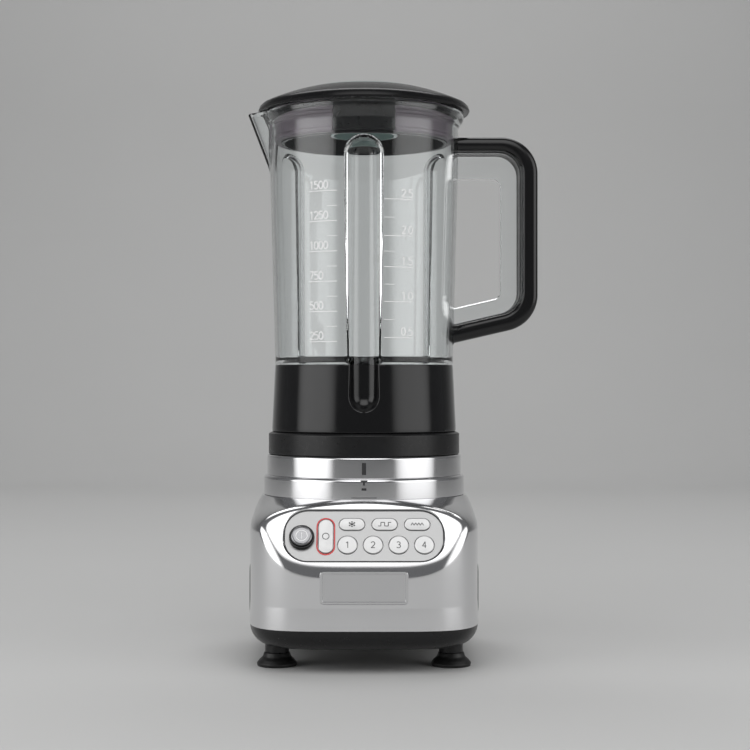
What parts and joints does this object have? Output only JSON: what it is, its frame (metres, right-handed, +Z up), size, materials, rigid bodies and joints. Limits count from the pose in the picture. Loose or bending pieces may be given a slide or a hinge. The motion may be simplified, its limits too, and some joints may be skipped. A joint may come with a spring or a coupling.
{
  "type": "countertop blender",
  "caption": "Countertop blender with a chromed motor base and sloping key panel, a clear fluted jug with a black handle, and a domed lid with a filler cap.",
  "frame": {"origin": "on the surface that the feet stand on, under the drive axis that motor, jug and lid share", "axes": "+Z up along the drive axis, -Y out of the front with the keys, +X towards the jug's handle"},
  "size_m": [0.2165, 0.2141, 0.4265],
  "materials": {
    "chrome": "polished",
    "panel_silver": "fine satin",
    "button_silver": "fine satin",
    "knob_metal": "turned",
    "gloss_black": "gloss",
    "satin_black": "satin",
    "matte_black": "matt",
    "dark_seal": "matt",
    "grey_seal": "matt",
    "lid_seal_grey": "soft, slightly clear",
    "black_rubber": "matt",
    "red_ring": "lit from behind",
    "clear_jar": "clear, polished",
    "cap_tint": "pale tint, polished",
    "bright_steel": "ground",
    "blade_steel": "ground and polished",
    "cast_alloy": "as cast",
    "laminations": "stacked sheet",
    "copper_winding": "varnished copper wire",
    "copper_bar": "turned copper",
    "moulded_brown": "moulded",
    "carbon": "pressed carbon",
    "board_green": "coated board"
  },
  "bodies": {
    "base": {"housing": "chrome", "collar_lower_ring": "chrome", "collar_upper_ring": "chrome", "jug_seat": "matte_black", "seat_seal": "dark_seal", "control_panel": "panel_silver", "panel_seal": "dark_seal", "power_bezel": "gloss_black", "indicator_ring": "red_ring", "control_board": "board_green", "button_switches": "matte_black", "base_pan": "satin_black", "base_screws": "bright_steel", "foot_posts": "satin_black", "suction_feet": "black_rubber", "rear_cover": "matte_black", "side_vents": "matte_black", "cord_gland": "black_rubber", "badge_plate": "chrome", "motor_top_bracket": "cast_alloy", "motor_bottom_bracket": "cast_alloy", "motor_stator": "laminations", "field_windings": "copper_winding", "motor_bearings": "bright_steel", "brush_holders": "moulded_brown", "carbon_brushes": "carbon", "motor_screws": "bright_steel", "motor_mounts": "black_rubber"},
    "rotor": {"rotor_shaft": "bright_steel", "rotor_core": "laminations", "commutator": "copper_bar", "cooling_fan": "matte_black", "drive_coupling": "satin_black"},
    "jug": {"jar": "clear_jar", "handle_grip": "gloss_black", "jug_skirt": "gloss_black", "jug_foot_ring": "gloss_black", "blade_carrier": "blade_steel", "jar_gasket": "grey_seal", "blade_bearings": "bright_steel", "shaft_seal": "dark_seal", "carrier_screws": "bright_steel"},
    "blades": {"blade_shaft": "bright_steel", "upper_blades": "blade_steel", "lower_blades": "blade_steel", "blade_nut": "blade_steel", "driven_coupling": "satin_black"},
    "lid": {"lid_body": "gloss_black", "lid_seal": "lid_seal_grey"},
    "cap": {"filler_cap": "cap_tint"},
    "power_button": {"power_button": "knob_metal"},
    "stop_button": {"stop_button": "button_silver"},
    "ice_button": {"ice_button": "button_silver"},
    "pulse_button": {"pulse_button": "button_silver"},
    "hold_button": {"hold_button": "button_silver"},
    "speed_button_1": {"speed_button_1": "button_silver"},
    "speed_button_2": {"speed_button_2": "button_silver"},
    "speed_button_3": {"speed_button_3": "button_silver"},
    "speed_button_4": {"speed_button_4": "button_silver"}
  },
  "joints": [
    {"name": "motor_spin", "type": "hinge", "parent": "base", "child": "rotor", "pos_m": [0, 0, 0.1], "axis": [0, 0, 1], "continuous": true},
    {"name": "jug_lift", "type": "slide", "parent": "base", "child": "jug", "axis": [0, 0, 1], "range_m": [0, 0.06]},
    {"name": "blade_spin", "type": "hinge", "parent": "jug", "child": "blades", "pos_m": [0, 0, 0.17], "axis": [0, 0, 1], "continuous": true},
    {"name": "lid_lift", "type": "slide", "parent": "jug", "child": "lid", "axis": [0, 0, 1], "range_m": [0, 0.06]},
    {"name": "cap_lift", "type": "slide", "parent": "lid", "child": "cap", "axis": [0, 0, 1], "range_m": [0, 0.05]},
    {"name": "power_press", "type": "slide", "parent": "base", "child": "power_button", "axis": [0, 0.866, -0.5], "range_m": [0, 0.002], "stiffness_N_per_m": 200, "springref_m": -0.0005},
    {"name": "stop_press", "type": "slide", "parent": "base", "child": "stop_button", "axis": [0, 0.866, -0.5], "range_m": [0, 0.001], "stiffness_N_per_m": 200, "springref_m": -0.0005},
    {"name": "ice_press", "type": "slide", "parent": "base", "child": "ice_button", "axis": [0, 0.866, -0.5], "range_m": [0, 0.001], "stiffness_N_per_m": 200, "springref_m": -0.0005},
    {"name": "pulse_press", "type": "slide", "parent": "base", "child": "pulse_button", "axis": [0, 0.866, -0.5], "range_m": [0, 0.001], "stiffness_N_per_m": 200, "springref_m": -0.0005},
    {"name": "hold_press", "type": "slide", "parent": "base", "child": "hold_button", "axis": [0, 0.866, -0.5], "range_m": [0, 0.001], "stiffness_N_per_m": 200, "springref_m": -0.0005},
    {"name": "speed_press_1", "type": "slide", "parent": "base", "child": "speed_button_1", "axis": [0, 0.866, -0.5], "range_m": [0, 0.001], "stiffness_N_per_m": 200, "springref_m": -0.0005},
    {"name": "speed_press_2", "type": "slide", "parent": "base", "child": "speed_button_2", "axis": [0, 0.866, -0.5], "range_m": [0, 0.001], "stiffness_N_per_m": 200, "springref_m": -0.0005},
    {"name": "speed_press_3", "type": "slide", "parent": "base", "child": "speed_button_3", "axis": [0, 0.866, -0.5], "range_m": [0, 0.001], "stiffness_N_per_m": 200, "springref_m": -0.0005},
    {"name": "speed_press_4", "type": "slide", "parent": "base", "child": "speed_button_4", "axis": [0, 0.866, -0.5], "range_m": [0, 0.001], "stiffness_N_per_m": 200, "springref_m": -0.0005}
  ],
  "couplings": [
    {"joint": "blade_spin", "follows": "motor_spin", "ratio": 1}
  ]
}
